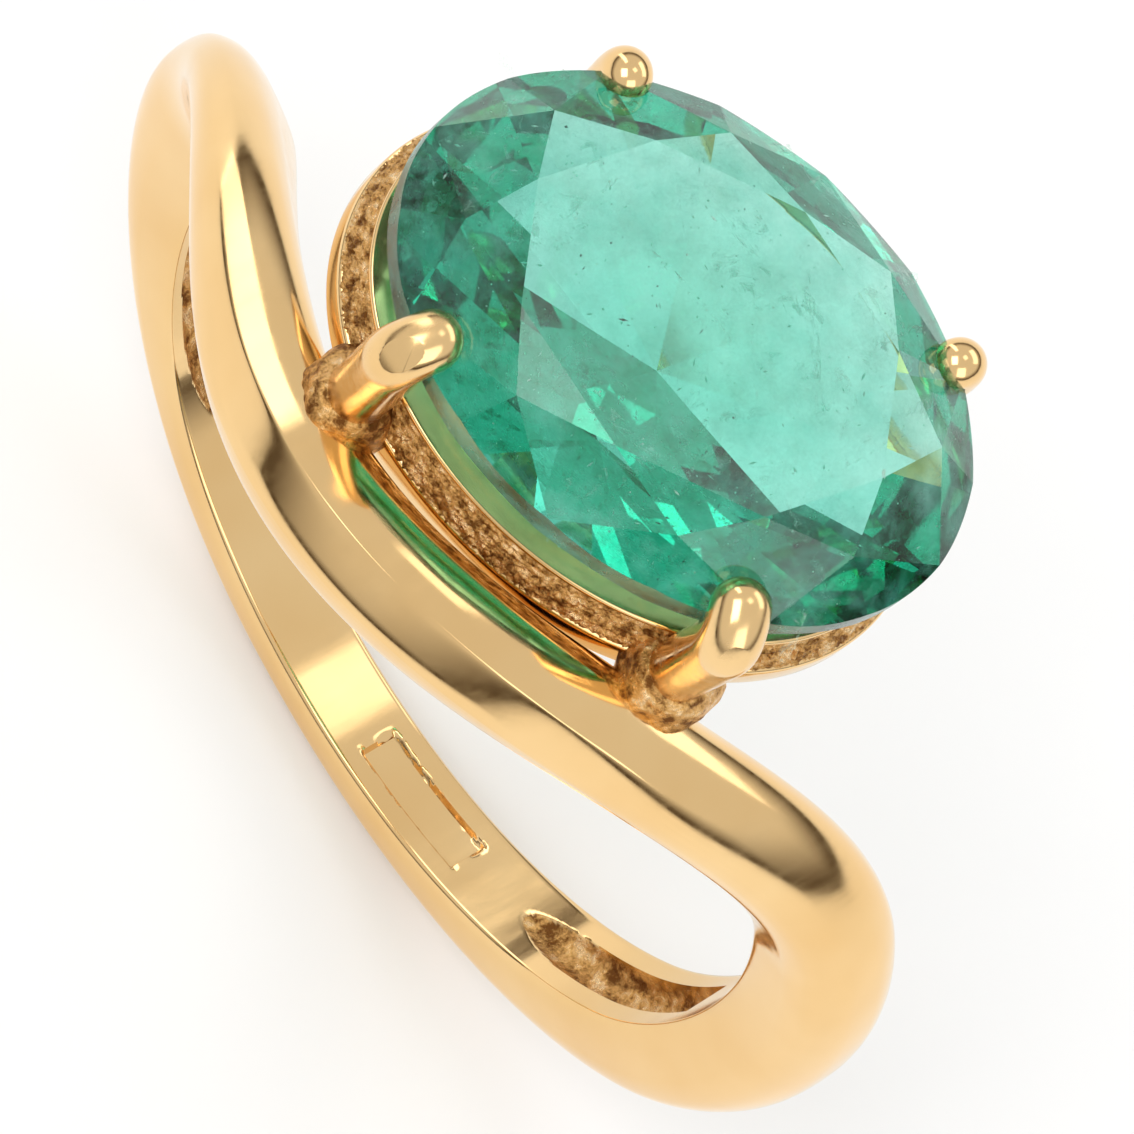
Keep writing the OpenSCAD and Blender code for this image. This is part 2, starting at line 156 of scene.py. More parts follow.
class Nodes:
    """Short names for making and joining the nodes of one material."""

    def __init__(self, name):
        self.mat = bpy.data.materials.new(name)
        self.mat.use_nodes = True
        self.tree = self.mat.node_tree
        self.tree.nodes.clear()
        self.out = self.add("ShaderNodeOutputMaterial")
        self.place = self.add("ShaderNodeTexCoord").outputs["Object"]

    def add(self, kind, **values):
        node = self.tree.nodes.new(kind)
        for key, value in values.items():
            if key in node.inputs:
                self.set(node.inputs[key], value)
            else:
                setattr(node, key, value)
        return node

    def set(self, socket, value):
        if isinstance(value, bpy.types.NodeSocket):
            self.tree.links.new(value, socket)
        else:
            socket.default_value = value

    def noise(self, scale, detail=4.0, rough=0.55, vector=None, distort=0.0):
        node = self.add("ShaderNodeTexNoise")
        inputs = {"Scale": scale, "Detail": detail, "Roughness": rough, "Distortion": distort}
        for key, value in inputs.items():
            node.inputs[key].default_value = value
        self.set(node.inputs["Vector"], vector or self.place)
        return node.outputs["Fac"]

    def ramp(self, factor, stops):
        node = self.add("ShaderNodeValToRGB")
        while len(node.color_ramp.elements) < len(stops):
            node.color_ramp.elements.new(0.5)
        for e, (pos, col) in zip(node.color_ramp.elements, stops):
            e.position = pos
            e.color = (*col, 1) if isinstance(col, tuple) else (col, col, col, 1)
        self.set(node.inputs["Fac"], factor)
        return node.outputs["Color"]

    def span(self, value, a, b, low, high):
        node = self.add("ShaderNodeMapRange")
        self.set(node.inputs["Value"], value)
        for key, x in (("From Min", a), ("From Max", b), ("To Min", low), ("To Max", high)):
            node.inputs[key].default_value = x
        return node.outputs["Result"]

    def stretch(self, scale):
        node = self.add("ShaderNodeMapping")
        self.set(node.inputs["Vector"], self.place)
        node.inputs["Scale"].default_value = scale
        return node.outputs["Vector"]

    def bump(self, height, strength, depth, normal=None):
        node = self.add("ShaderNodeBump")
        self.set(node.inputs["Height"], height)
        node.inputs["Strength"].default_value = strength
        node.inputs["Distance"].default_value = depth * MM
        if normal:
            self.set(node.inputs["Normal"], normal)
        return node.outputs["Normal"]

    def blend(self, factor, a, b):
        node = self.add("ShaderNodeMixShader")
        self.set(node.inputs[0], factor)
        self.set(node.inputs[1], a)
        self.set(node.inputs[2], b)
        return node.outputs[0]

    def attribute(self, name):
        return self.add("ShaderNodeAttribute", attribute_name=name).outputs["Fac"]

    def surface(self, shader):
        self.set(self.out.inputs["Surface"], shader)
        return self.mat


GOLD_PALE, GOLD_DEEP = (0.90, 0.63, 0.31), (0.84, 0.55, 0.24)
# cast gold tones; the darker one is painted shade for the low pits, not a colour of the metal
CAST_PALE, CAST_PIT_SHADE = (0.74, 0.42, 0.14), (0.20, 0.08, 0.02)


def polished(n, wear=1.0):
    """Polished gold: faint cloudiness, hairline polishing marks and small dents."""
    tone = n.ramp(n.noise(260, 3), [(0.3, GOLD_DEEP), (0.7, GOLD_PALE)])
    marks = n.noise(2600, 5, 0.65, n.stretch((1.0, 0.16, 1.0)))
    rough = n.span(marks, 0.3, 0.75, 0.07, 0.07 + 0.11 * wear)
    dents = n.bump(n.noise(420, 2), 0.25 * wear, 0.02)
    normal = n.bump(marks, 0.12 * wear, 0.004, dents)
    shader = n.add("ShaderNodeBsdfPrincipled")
    shader.inputs["Metallic"].default_value = 1.0
    for key, value in (("Base Color", tone), ("Roughness", rough), ("Normal", normal)):
        n.set(shader.inputs[key], value)
    return shader.outputs[0]


def as_cast(n, grain=1.0):
    """Gold left as it was cast: pitted, with painted shade darkening its pits and a painted highlight on its
    high grains.
    """
    pits = n.noise(3300 / grain, 6, 0.7)
    lumps = n.noise(900 / grain, 3, 0.6)
    # tone follows the relief of the pits: painted shade in the low pits, a painted highlight of pale gold on
    # the high grains
    tone = n.ramp(pits, [(0.40, CAST_PIT_SHADE), (0.52, CAST_PALE), (0.66, (0.96, 0.72, 0.42))])
    rough = n.span(pits, 0.3, 0.7, 0.50, 0.16)
    normal = n.bump(pits, 1.0, 0.10, n.bump(lumps, 1.0, 0.20))
    shader = n.add("ShaderNodeBsdfPrincipled")
    shader.inputs["Metallic"].default_value = 1.0
    for key, value in (("Base Color", tone), ("Roughness", rough), ("Normal", normal)):
        n.set(shader.inputs[key], value)
    return shader.outputs[0]


def gold_material(name, wear):
    n = Nodes(name)
    return n.surface(polished(n, wear))


def band_material():
    """Polished outside; the hollows inside the shoulders are left as cast."""
    n = Nodes("band_gold")
    return n.surface(n.blend(n.attribute("cast"), polished(n), as_cast(n, 1.3)))


def cast_material(name, grain):
    n = Nodes(name)
    return n.surface(as_cast(n, grain))


def emerald_material(name, rough_low, rough_high, haze, tint):
    """Green beryl: clear with absorption, and hazy where fine inclusions reach the surface."""
    n = Nodes(name)
    clear = n.add("ShaderNodeBsdfPrincipled")
    clear.inputs["IOR"].default_value = 1.58
    clear.inputs["Transmission Weight"].default_value = 1.0
    clouds = n.noise(520, 6, 0.62)
    n.set(clear.inputs["Base Color"], n.ramp(clouds, [(0.3, tint), (0.7, (0.96, 1.0, 0.98))]))
    n.set(clear.inputs["Roughness"], n.span(clouds, 0.35, 0.75, rough_low, rough_high))
    n.set(clear.inputs["Normal"], n.bump(n.noise(1500, 3), 0.05, 0.01))
    milk = n.add("ShaderNodeBsdfPrincipled")
    milk.inputs["Roughness"].default_value = 0.35
    n.set(milk.inputs["Base Color"], n.ramp(clouds, [(0.35, (0.02, 0.44, 0.32)), (0.7, (0.34, 0.86, 0.70))]))
    amount = n.span(n.noise(800, 5, 0.7), 0.42, 0.72, 0.0, haze)
    depth = n.add("ShaderNodeVolumeAbsorption")
    depth.inputs["Color"].default_value = (0.13, 0.85, 0.74, 1)
    depth.inputs["Density"].default_value = 430.0
    n.set(n.out.inputs["Volume"], depth.outputs[0])
    return n.surface(n.blend(amount, clear.outputs[0], milk.outputs[0]))


def veil_material():
    """Healed fractures: specks and wisps on clear sheets."""
    n = Nodes("emerald_veils")
    wisps = n.noise(2400, 6, 0.72, distort=0.6)
    clouds = n.noise(380, 3)
    gate = n.add("ShaderNodeMath", operation="MULTIPLY")
    n.set(gate.inputs[0], n.span(wisps, 0.52, 0.66, 0.0, 1.0))
    n.set(gate.inputs[1], n.span(clouds, 0.4, 0.6, 0.1, 0.9))
    clear = n.add("ShaderNodeBsdfTransparent")
    white = n.add("ShaderNodeBsdfPrincipled")
    white.inputs["Roughness"].default_value = 0.4
    n.set(white.inputs["Base Color"], n.ramp(wisps, [(0.5, (0.55, 0.86, 0.70)), (0.7, (0.86, 0.98, 0.92))]))
    return n.surface(n.blend(gate.outputs[0], clear.outputs[0], white.outputs[0]))


def speck_material(name, dark, light):
    n = Nodes(name)
    shader = n.add("ShaderNodeBsdfPrincipled")
    shader.inputs["Roughness"].default_value = 0.35
    n.set(shader.inputs["Base Color"], n.ramp(n.noise(4000, 3), [(0.35, dark), (0.65, light)]))
    return n.surface(shader.outputs[0])


def floor_material():
    n = Nodes("pale_floor")
    shader = n.add("ShaderNodeBsdfPrincipled")
    shader.inputs["Roughness"].default_value = 0.65
    n.set(shader.inputs["Base Color"], n.ramp(n.noise(60, 4), [(0.3, 0.92), (0.7, 0.95)]))
    n.set(shader.inputs["Normal"], n.bump(n.noise(900, 4), 0.05, 0.05))
    return n.surface(shader.outputs[0])


# ---------- band ----------


def turn(a, b):
    return (b - a + 180) % 360 - 180


def swing(angle, sweep):
    return 0.0 if abs(angle) >= sweep else cosd(90 * angle / sweep) ** 2


def ease(v0, v1, t):
    t = min(1.0, max(0.0, t))
    return v0 + (v1 - v0) * (1 - cosd(180 * t)) / 2


def band_y(q):
    """Middle of the band along the finger at an angle from +X towards +Z."""
    a = turn(CROSSING_ANGLE, q)
    return (-CROSSING_OFFSET * swing(a, RIGHT_SWEEP if a < 0 else LEFT_SWEEP)
            + RIGHT_SHIFT * swing(turn(RIGHT_SHIFT_ANGLE, q), SHIFT_SWEEP)
            + LEFT_SHIFT * swing(turn(LEFT_SHIFT_ANGLE, q), SHIFT_SWEEP))


def band_slope(q):
    """Slope of the middle of the band, in mm along the finger for each mm round it."""
    return (band_y(q + 1) - band_y(q - 1)) / (2 * (FINGER_RADIUS + CROSSING[1] / 2) * math.pi / 180)


def band_size(q, k):
    """Width (k = 0) or thickness (k = 1) of the band at an angle."""
    a = q % 360
    if a < CROSSING_START:
        return ease(RIGHT[k], CROSSING[k], (a - RIGHT_END) / (CROSSING_START - RIGHT_END))
    if a < CROSSING_END:
        return CROSSING[k]
    if a < LEFT_START:
        return ease(CROSSING[k], LEFT[k], (a - CROSSING_END) / (LEFT_START - CROSSING_END))
    if a < LEFT_END:
        return LEFT[k]
    if a < BACK_START:
        return ease(LEFT[k], BACK[k], (a - LEFT_END) / (BACK_START - LEFT_END))
    if a < BACK_END:
        return BACK[k]
    return ease(BACK[k], RIGHT[k], (a - BACK_END) / (360 - BACK_END))


def band_point(q, n, h):
    """A point at height h over the finger and n across the band."""
    s = band_slope(q)
    c = 1 / math.sqrt(1 + s * s)
    r = FINGER_RADIUS + h
    return (r * cosd(q) + n * s * c * sind(q), band_y(q) + n * c, r * sind(q) - n * s * c * cosd(q))


def rounded(points, times):
    """Chaikin's corner cutting, which turns a polygon into a smooth curve."""
    for _ in range(times):
        out = [points[0]]
        for a, b in zip(points, points[1:]):
            out += [0.75 * a + 0.25 * b, 0.25 * a + 0.75 * b]
        points = out + [points[-1]]
    return points


# Outside of the band as shares of the half width and of the height over its widest line:
# softly domed round the finger, with a bevel and a ridge on the near side at the crossing
DOMED = rounded([np.array(p) for p in (
    (-1, 0), (-1, 0.34), (-0.84, 0.72), (-0.42, 0.99), (0, 1.03),
    (0.42, 0.99), (0.84, 0.72), (1, 0.34), (1, 0))], 4)
RIDGED = rounded([np.array(p) for p in (
    (-1, 0), (-0.99, 0.22), (-0.70, 0.60), (-0.40, 0.97), (-0.36, 0.985),
    (0.28, 1.06), (0.82, 0.84), (1, 0.36), (1, 0))], 4)


def relief_depth(q, n):
    """Depth at a point of the inside of the hollows in the two shoulders."""
    for end, side in ((360 - RELIEF_END, -1), (180 + RELIEF_END, 1)):
        away = side * turn(end, q)
        if 0 <= away <= RELIEF_ANGLE and abs(n) < RELIEF_WIDTH / 2:
            shift = RELIEF_DEPTH / (1 - cosd(RELIEF_ANGLE))
            outer = FINGER_RADIUS + RELIEF_DEPTH - shift
            reach = shift * cosd(away) + math.sqrt(outer ** 2 - (shift * sind(away)) ** 2)
            half = RELIEF_WIDTH / 2
            depth = reach - half + math.sqrt(half ** 2 - n ** 2) - FINGER_RADIUS
            return max(0.0, depth) * min(1.0, away / 0.6)
    return 0.0


def punch_depth(q, n):
    """Depth of the blank punch, with soft and slightly uneven edges."""
    along = abs(turn(PUNCH_ANGLE, q)) * math.pi / 180 * FINGER_RADIUS
    wobble = 0.03 * noise.noise(Vector((q * 0.9, n * 3, 0)))
    edge = min(PUNCH_LENGTH / 2 - along, PUNCH_WIDTH / 2 - abs(n)) + wobble
    return PUNCH_DEPTH * min(1.0, max(0.0, edge / 0.06))


def make_band():
    """The bypass band, with a mask that says where its inside is left as cast."""
    stations, inner = 720, 44
    points, cast = [], []
    for i in range(stations):
        q = i * 360 / stations
        w, t = band_size(q, 0), band_size(q, 1)
        b, m = w / 2, WIDEST * t
        f = INNER_FLAT * b
        rise = ease(0, 1, (q - RIDGE_START) / RIDGE_START_SWEEP)
        share = rise * ease(1, 0, (q - RIDGE_END) / RIDGE_END_SWEEP)
        outside = [(1 - share) * d + share * r for d, r in zip(DOMED, RIDGED)]
        ring = [(p[0] * b, m + p[1] * (t - m), 0.0) for p in outside]
        ring += [(f + (b - f) * cosd(9 * k), m * (1 - sind(9 * k)), 0.0) for k in range(1, 10)]
        for k in range(1, inner):
            n = f - 2 * f * k / inner
            groove = relief_depth(q, n)
            ring.append((n, groove + punch_depth(q, n), 1.0 if groove > 0.01 else 0.0))
        ring += [(-f - (b - f) * sind(9 * k), m * (1 - cosd(9 * k)), 0.0) for k in range(9)]
        for n, h, rough in ring:
            points.append(band_point(q, n, h))
            cast.append(rough)
    band = make_object("band", points, loop_faces(stations, len(ring)), [band_material()], sharp=40)
    mask = band.data.attributes.new("cast", "FLOAT", "POINT")
    mask.data.foreach_set("value", cast)
    return finish_piece(band, ["shank"])


# ---------- basket ----------


def oval_ring(name, half_length, half_width, section, material, node, around=320, rough=None):
    """A ring that follows the oval; section gives (outwards, height) points in mm."""
    points = []
    for i in range(around):
        q = 360 * i / around
        nx, ny = half_width * cosd(q), half_length * sind(q)
        nl = math.hypot(nx, ny)
        for k, (u, v) in enumerate(section):
            if rough:
                u += rough(i, k, u, v)
            x = half_length * cosd(q) + u * nx / nl
            y = half_width * sind(q) + u * ny / nl
            points.append(on_head((x, y, v)))
    ring = make_object(name, points, loop_faces(around, len(section)), [material], sharp=50)
    return finish_piece(ring, [node])


def bar_section(thickness, height, z, corner, steps=7):
    """A rectangle with rounded corners, as (outwards, height) points."""
    out = []
    for cx, cy, start in ((1, 1, 0), (-1, 1, 90), (-1, -1, 180), (1, -1, 270)):
        for k in range(steps):
            a = start + 90 * k / (steps - 1)
            out.append((cx * (thickness / 2 - corner) + corner * cosd(a),
                        z + cy * (height / 2 - corner) + corner * sind(a)))
    return out


def make_rails(gold):
    """The two rails, which follow the oval of the girdle."""
    low_z = BASKET_BOTTOM + LOWER_RAIL / 2
    high_z = BASKET_BOTTOM + LOWER_RAIL + RAIL_GAP + UPPER_RAIL - UPPER_LIP / 2
    half = RAIL_THICKNESS / 2
    oval_ring("lower_rail", STONE_A + LOWER_OUTSET - half, STONE_B + LOWER_OUTSET - half,
              bar_section(RAIL_THICKNESS, LOWER_RAIL, low_z, LOW_CORNER), gold, "lower_gallery_rail")
    oval_ring("upper_rail", STONE_A - UPPER_INSET - half, STONE_B - UPPER_INSET - half,
              bar_section(RAIL_THICKNESS, UPPER_LIP, high_z, HIGH_CORNER), gold, "upper_gallery_rail")


def make_wall():
    """The sloping wall between the rails, with the layers and grains of the casting left on it."""
    low = BASKET_BOTTOM + LOWER_RAIL - WALL_OVERLAP
    high = BASKET_BOTTOM + LOWER_RAIL + RAIL_GAP + UPPER_RAIL - UPPER_LIP
    slope = UPPER_INSET + LOWER_OUTSET
    levels = 48
    section = [(-slope * k / levels, low + (high - low) * k / levels) for k in range(levels + 1)]
    section += [(-slope - WALL_THICKNESS, high), (-WALL_THICKNESS, low)]

    def grain(i, k, u, v):
        if k in (0, levels) or k > levels:
            return 0.0
        share = k / levels
        layers = -0.05 * (math.floor(share * 10) % 2) if share > 0.55 else 0.0
        spot = Vector((i * 0.30, share * 5.0, 0.0))
        deep = -0.16 * max(0.0, noise.noise(spot * 1.3)) * math.sin(math.pi * min(1.0, share / 0.7))
        return layers + deep + 0.05 * noise.noise(spot * 3.1)

    oval_ring("gallery", STONE_A + LOWER_OUTSET - WALL_SETBACK,
              STONE_B + LOWER_OUTSET - WALL_SETBACK, section,
              cast_material("rough_wall", 1.0), "gallery_wall", 720, grain)


def prong_spot(sx, sy, z):
    """Axis of a prong at a height, and the direction outwards, in the frame of the head."""
    out, a = (NEAR_OUTSET, NEAR_ANGLE) if sy < 0 else (FAR_OUTSET, FAR_ANGLE)
    top = Vector((sx * (STONE_A + out) * cosd(a), sy * (STONE_B + out) * sind(a), 0))
    outward = Vector((sx * cosd(a) * STONE_B, sy * sind(a) * STONE_A, 0)).normalized()
    lean = PRONG_LEAN * (CLAW_Z - z) / (CLAW_Z - BASKET_BOTTOM)
    spot = top - lean * outward
    spot.z = z
    return spot, outward


def make_prong(name, node, sx, sy, diameter, reach, trims, gold):
    """A round shaft that bends into a claw with a rounded tip. Flat faces are filed on it by trims:
    each gives the tilt of the face outwards from straight up, its lean sideways, and how far from
    the axis it lies as a share of the radius."""
    r = diameter / 2
    foot, outward = prong_spot(sx, sy, BASKET_BOTTOM - PRONG_FOOT)
    bend, _ = prong_spot(sx, sy, CLAW_Z)
    tip = bend - outward * reach + Vector((0, 0, CLAW_SLOPE * reach))
    corner, narrowing = 0.45, 0.06
    shaft_rings, bend_rings, tip_rings, around = 24, 30, 24, 56
    sharp = 28
    up = (bend - foot).normalized()
    start = bend - up * corner
    path, radii = [], []
    for k in range(shaft_rings):
        path.append(foot.lerp(start, k / shaft_rings))
        radii.append(r)
    for k in range(bend_rings):
        s = k / (bend_rings - 1)
        path.append(start.lerp(bend, s).lerp(bend.lerp(tip, s), s))
        radii.append(r * (1 - narrowing * s))
    end_r = radii[-1]
    lead = (path[-1] - path[-2]).normalized()
    for k in range(1, tip_rings):
        a = 90 * k / tip_rings
        path.append(tip + lead * end_r * sind(a))
        radii.append(end_r * cosd(a))
    side = Vector((0, 0, 1)).cross(outward).normalized()
    points = []
    for i, (p, rad) in enumerate(zip(path, radii)):
        tangent = (path[min(i + 1, len(path) - 1)] - path[max(i - 1, 0)]).normalized()
        if i > shaft_rings + bend_rings:
            tangent = lead
        across = side.cross(tangent).normalized()
        for j in range(around):
            a = 360 * j / around
            points.append(p + side * rad * cosd(a) + across * rad * sind(a))
    faces = loop_faces(len(path), around, False)
    faces.append(tuple(range(around)))
    faces.append(tuple((len(path) - 1) * around + j for j in range(around)))
    prong = make_object(name, [on_head(p) for p in points], faces, [gold], sharp=sharp)
    bm = bmesh.new()
    bm.from_mesh(prong.data)
    for slope, sideways, gap in trims:
        normal = (outward * sind(slope) + Vector((0, 0, cosd(slope))) + side * sideways).normalized()
        spot = bend + normal * r * gap
        cut = bmesh.ops.bisect_plane(
            bm, geom=bm.verts[:] + bm.edges[:] + bm.faces[:], dist=1e-9,
            plane_co=Vector(on_head(spot)) * MM,
            plane_no=(HEAD.to_3x3() @ normal), clear_outer=True)
        rim = [e for e in cut["geom_cut"] if isinstance(e, bmesh.types.BMEdge)]
        if rim:
            bmesh.ops.contextual_create(bm, geom=rim)
    bmesh.ops.recalc_face_normals(bm, faces=bm.faces)
    bm.to_mesh(prong.data)
    bm.free()
    prong.data.set_sharp_from_angle(angle=math.radians(sharp))
    bevel = prong.modifiers.new("rim", "BEVEL")
    bevel.width = 0.035 * MM
    bevel.segments = 3
    bevel.angle_limit = math.radians(sharp)
    return finish_piece(prong, [node])


def make_solder(name, sx, nodes, material):
    """A lump of solder, uneven where it flowed between the prong and the band."""
    spot, _ = prong_spot(sx, -1, FINGER_RADIUS + CROSSING[1] - SOLDER_DROP)
    middle = Vector(on_head(spot))
    bm = bmesh.new()
    bmesh.ops.create_icosphere(bm, subdivisions=5, radius=1.0)
    radius = NEAR_PRONG / 2 + SOLDER_SPREAD
    for v in bm.verts:
        d = v.co.normalized()
        uneven = 1 + 0.10 * noise.noise(d * 1.7 + Vector((sx, 0, 0))) + 0.04 * noise.noise(d * 6)
        v.co = (middle + d * radius * uneven) * MM
    mesh = bpy.data.meshes.new(name)
    for f in bm.faces:
        f.smooth = True
    bm.to_mesh(mesh)
    bm.free()
    mesh.materials.append(material)
    lump = bpy.data.objects.new(name, mesh)
    bpy.context.scene.collection.objects.link(lump)
    return finish_piece(lump, nodes)


# ---------- stone ----------


def plane_height(p, q, r, x, y):
    n = (q - p).cross(r - p)
    return p.z - (n.x * (x - p.x) + n.y * (y - p.y)) / n.z


def make_emerald():
    """Oval cut: table, stars, kites and upper halves over the girdle, mains and lower halves below."""
    steps = 192
    per = steps // 16
    star_r = (TABLE * cosd(22.5) + 1) / 2 * STAR_SPREAD
    star_z = CROWN * (1 - star_r * cosd(22.5)) / (1 - TABLE)
    half_r = LOWER_HALF_SHARE
    half_z = -PAVILION * (1 - half_r * cosd(22.5))

    def girdle(apex_r, apex_z, drop):
        out = []
        for i in range(steps):
            q, k = i * 360 / steps, i // per
            g0 = Vector((cosd(22.5 * k), sind(22.5 * k), 0))
            g1 = Vector((cosd(22.5 * (k + 1)), sind(22.5 * (k + 1)), 0))
            j = 22.5 * (k + 1) if k % 2 == 0 else 22.5 * k
            apex = Vector((apex_r * cosd(j), apex_r * sind(j), apex_z))
            out.append((cosd(q), sind(q), plane_height(g0, g1, apex, cosd(q), sind(q)) - drop))
        return out

    unit = girdle(star_r, star_z, 0) + girdle(half_r, half_z, GIRDLE)
    unit += [(TABLE * cosd(45 * i), TABLE * sind(45 * i), CROWN) for i in range(8)]
    unit += [(star_r * cosd(45 * i + 22.5), star_r * sind(45 * i + 22.5), star_z) for i in range(8)]
    unit += [(half_r * cosd(45 * i + 22.5), half_r * sind(45 * i + 22.5), half_z - GIRDLE) for i in range(8)]
    unit += [(0, 0, -PAVILION - GIRDLE)]
    points = [on_head((p[0] * STONE_A, p[1] * STONE_B, GIRDLE_Z + p[2])) for p in unit]
    t0 = 2 * steps
    s0, h0, c0 = t0 + 8, t0 + 16, t0 + 24
    faces = [tuple(t0 + i for i in range(8))]
    faces += [(t0 + i, t0 + (i + 1) % 8, s0 + i) for i in range(8)]
    faces += [(t0 + i, s0 + i, i * 2 * per, s0 + (i + 7) % 8) for i in range(8)]
    for i in range(8):
        base = i * 2 * per
        faces.append((s0 + i, *[(base + k) % steps for k in range(per, -1, -1)]))
        faces.append((s0 + i, *[(base + k) % steps for k in range(2 * per, per - 1, -1)]))
        faces.append((h0 + i, *[steps + (base + k) % steps for k in range(per + 1)]))
        faces.append((h0 + i, *[steps + (base + k) % steps for k in range(per, 2 * per + 1)]))
        faces.append((c0, h0 + (i + 7) % 8, steps + base, h0 + i))
    side = len(faces)
    faces += [(i, (i + 1) % steps, steps + (i + 1) % steps, steps + i) for i in range(steps)]
    materials = [emerald_material("emerald_facets", 0.0, 0.05, 0.36, (0.84, 0.97, 0.92)),
                 emerald_material("emerald_girdle", 0.15, 0.4, 0.45, (0.55, 0.95, 0.78))]
    stone = make_object("emerald_stone", points, faces, materials, smooth=False)
    for poly in stone.data.polygons:
        poly.material_index = 1 if poly.index >= side else 0
    return finish_piece(stone, ["emerald"])


def inside_stone(rng, margin=0.86):
    """A random place inside the stone, in the frame of the head."""
    while True:
        x, y = rng.uniform(-1, 1), rng.uniform(-1, 1)
        r = math.hypot(x, y)
        if r < 0.93:
            top = CROWN * min(1.0, (1 - r) / (1 - TABLE)) * margin
            low = -GIRDLE - PAVILION * (1 - r) * margin
            return Vector((x * STONE_A, y * STONE_B, GIRDLE_Z + rng.uniform(low, top)))


def make_inclusions():
    """What the emerald holds: veils of healed fractures, bright flakes and needles, dark specks."""
    rng = random.Random(11)
    points, faces = [], []
    for _ in range(54):
        centre = inside_stone(rng, 0.6)
        u = Vector((rng.gauss(0, 1), rng.gauss(0, 1), rng.gauss(0, 0.6))).normalized()
        v = u.cross(Vector((rng.gauss(0, 1), rng.gauss(0, 1), rng.gauss(0, 1)))).normalized()
        w = u.cross(v)
        du, dv, bow = rng.uniform(0.4, 1.3), rng.uniform(0.2, 0.6), rng.uniform(-0.15, 0.15)
        base, size = len(points), 9
        for i in range(size):
            for j in range(size):
                a, b = 2 * i / (size - 1) - 1, 2 * j / (size - 1) - 1
                narrow = math.sqrt(max(0.05, 1 - a * a))
                p = centre + u * du * a + v * dv * b * narrow + w * bow * (a * a + b * b)
                r = math.hypot(p.x / STONE_A, p.y / STONE_B)
                p.z = min(p.z, GIRDLE_Z + 0.92 * CROWN * min(1.0, max(0.0, (1 - r) / (1 - TABLE))) - 0.03)
                p.z = max(p.z, GIRDLE_Z - GIRDLE - 0.9 * PAVILION * max(0.0, 1 - r) + 0.03)
                points.append(on_head(p))
        corners = [base + i * size + j for i in range(size - 1) for j in range(size - 1)]
        faces += [(c, c + size, c + size + 1, c + 1) for c in corners]
    veils = make_object("emerald_veils", points, faces, [veil_material()])
    finish_piece(veils, [])
    flake = speck_material("emerald_flakes", (0.55, 0.90, 0.74), (0.92, 1.0, 0.97))
    speck = speck_material("emerald_specks", (0.01, 0.02, 0.015), (0.05, 0.09, 0.06))
    for name, count, low, high, slim, material in (
            ("emerald_flakes", 420, 0.006, 0.026, 0.3, flake),
            ("emerald_specks", 30, 0.010, 0.03, 0.8, speck)):
        points, faces = [], []
        for _ in range(count):
            centre = inside_stone(rng, 0.85)
            size = rng.uniform(low, high)
            long = size * rng.choice((1.0, 1.4, 3.5))
            axis = Vector((rng.gauss(0, 1), rng.gauss(0, 1), rng.gauss(0, 0.5))).normalized()
            u = axis.cross(Vector((rng.gauss(0, 1), rng.gauss(0, 1), 1.3))).normalized()
            v = axis.cross(u)
            base = len(points)
            for d in (axis * long, -axis * long, u * size, -u * size, v * size * slim, -v * size * slim):
                points.append(on_head(centre + d))
            for a in (0, 1):
                for b, c in ((2, 4), (4, 3), (3, 5), (5, 2)):
                    faces.append((base + a, base + b, base + c))
        finish_piece(make_object(name, points, faces, [material], smooth=False), [])


# ---------- stage ----------


def soft_light(name, size, power, azimuth, elevation, distance=0.35):
    """A softbox of a size in metres and a power in watts that faces the ring from a distance."""
    data = bpy.data.lights.new(name, "AREA")
    data.shape = "RECTANGLE"
    data.size, data.size_y = size
    data.energy = power
    lamp = bpy.data.objects.new(name, data)
    a, e = math.radians(azimuth), math.radians(elevation)
    back = Vector((math.sin(a) * math.cos(e), -math.cos(a) * math.cos(e), math.sin(e)))
    lamp.location = back * distance
    lamp.rotation_euler = back.to_track_quat("Z", "Y").to_euler()
    bpy.context.scene.collection.objects.link(lamp)


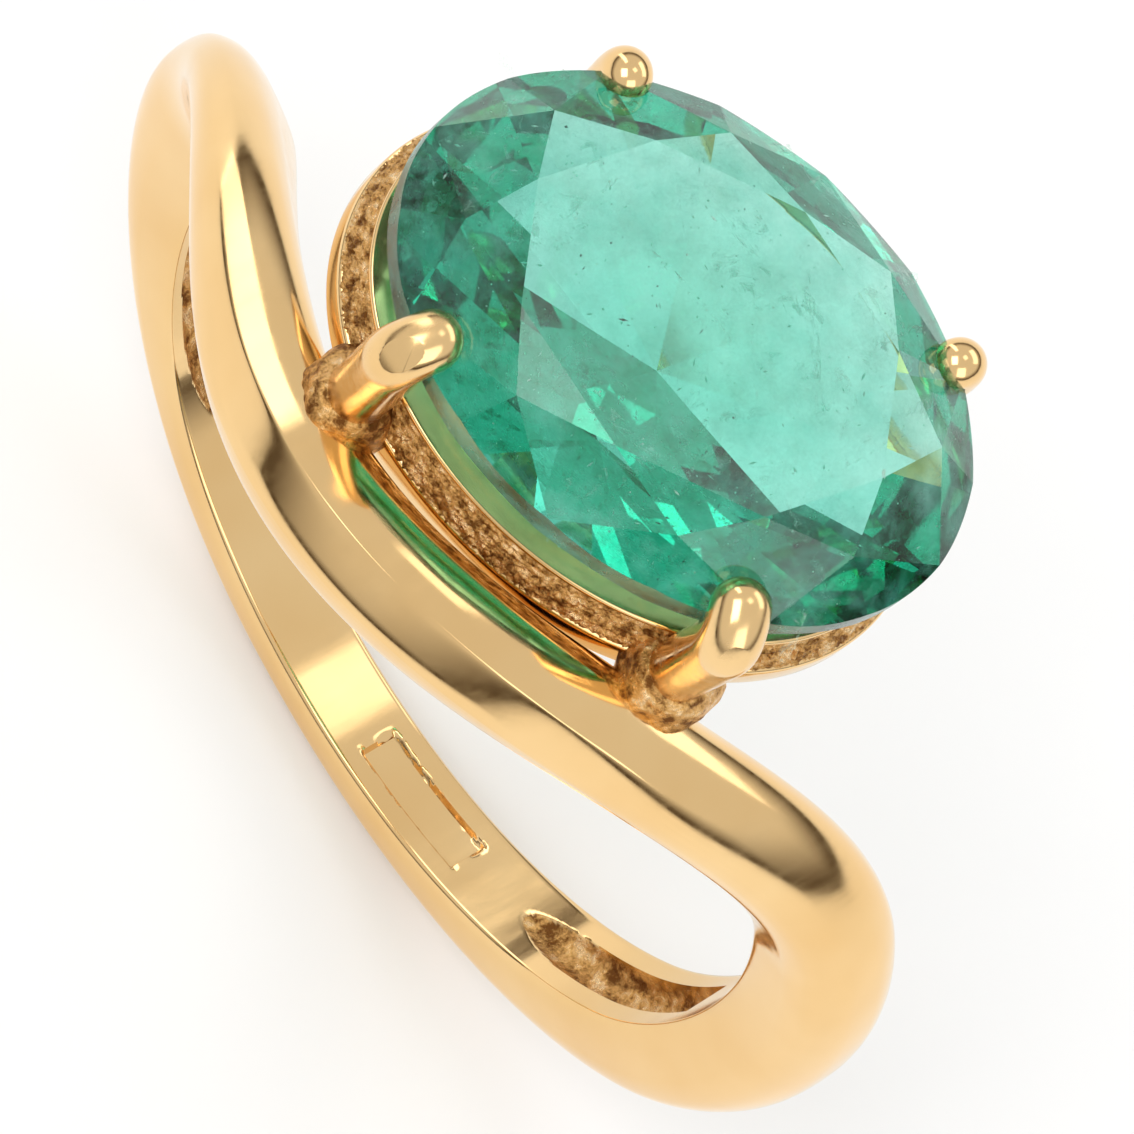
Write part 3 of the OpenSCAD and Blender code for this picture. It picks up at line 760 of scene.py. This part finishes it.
def make_stage():
    """A pale floor under the ring, a sky that is darker near the horizon, and five softboxes."""
    z = cad_box[0].z
    bm = bmesh.new()
    bmesh.ops.create_grid(bm, x_segments=8, y_segments=8, size=1.5)
    for v in bm.verts:
        v.co.z = z
    mesh = bpy.data.meshes.new("floor")
    bm.to_mesh(mesh)
    bm.free()
    mesh.materials.append(floor_material())
    floor = bpy.data.objects.new("floor", mesh)
    bpy.context.scene.collection.objects.link(floor)
    world = bpy.data.worlds.new("studio")
    bpy.context.scene.world = world
    world.use_nodes = True
    tree = world.node_tree
    tree.nodes.clear()
    place = tree.nodes.new("ShaderNodeTexCoord")
    split = tree.nodes.new("ShaderNodeSeparateXYZ")
    ramp = tree.nodes.new("ShaderNodeValToRGB")
    back = tree.nodes.new("ShaderNodeBackground")
    out = tree.nodes.new("ShaderNodeOutputWorld")
    tree.links.new(place.outputs["Generated"], split.inputs[0])
    tree.links.new(split.outputs["Z"], ramp.inputs["Fac"])
    tree.links.new(ramp.outputs["Color"], back.inputs["Color"])
    tree.links.new(back.outputs[0], out.inputs[0])
    ramp.color_ramp.elements[0].position = 0.06
    ramp.color_ramp.elements[0].color = (0.10, 0.08, 0.06, 1)
    ramp.color_ramp.elements[1].position = 0.30
    ramp.color_ramp.elements[1].color = (0.80, 0.80, 0.80, 1)
    back.inputs["Strength"].default_value = 1.0
    soft_light("key_softbox", (0.22, 0.16), 0.30, -35, 62)
    soft_light("fill_softbox", (0.22, 0.26), 0.24, 65, 38)
    soft_light("rim_softbox", (0.30, 0.12), 0.13, 170, 30)
    soft_light("side_strip", (0.07, 0.34), 0.14, -105, 18)
    soft_light("table_softbox", (0.10, 0.10), 0.035, 186, 67.6)
    bpy.context.scene.view_settings.view_transform = "Standard"


def make_camera():
    """High over the near side, with the picture turned so that the finger lies askew."""
    azimuth, elevation, roll, distance = 6.3, 67.6, 52.7, 0.300
    right = Vector((cosd(azimuth), sind(azimuth), 0))
    back = Vector((sind(azimuth) * cosd(elevation), -cosd(azimuth) * cosd(elevation), sind(elevation)))
    up = back.cross(right)
    cam_x = cosd(roll) * right + sind(roll) * up
    cam_y = -sind(roll) * right + cosd(roll) * up
    data = bpy.data.cameras.new("camera")
    data.sensor_width, data.lens = 36.0, 543.8
    data.clip_start, data.clip_end = 0.01, 10
    cam = bpy.data.objects.new("camera", data)
    place = back * distance + (1.436 * cam_x + 0.263 * cam_y) * MM
    turn_to = Matrix((cam_x, cam_y, back)).transposed().to_4x4()
    cam.matrix_world = Matrix.Translation(place) @ turn_to
    bpy.context.scene.collection.objects.link(cam)
    bpy.context.scene.camera = cam


gold = gold_material("polished_gold", 1.0)
filed = gold_material("filed_gold", 2.4)
make_band()
make_rails(gold)
make_wall()
make_prong("claw_near_left", "prong_near_left", -1, -1, NEAR_PRONG, NEAR_REACH,
           [(40, 0.15, 0.56)], filed)
make_prong("claw_near_right", "prong_near_right", 1, -1, NEAR_PRONG, NEAR_REACH,
           [(62, 0.1, 0.6)], filed)
make_prong("bead_far_left", "prong_far_left", -1, 1, FAR_PRONG, FAR_REACH, [], gold)
make_prong("bead_far_right", "prong_far_right", 1, 1, FAR_PRONG, FAR_REACH, [], gold)
solder = cast_material("solder_gold", 1.2)
make_solder("solder_left", -1, ["solder_fillets"], solder)
make_solder("solder_right", 1, [], solder)
make_emerald()
make_inclusions()
make_stage()
make_camera()
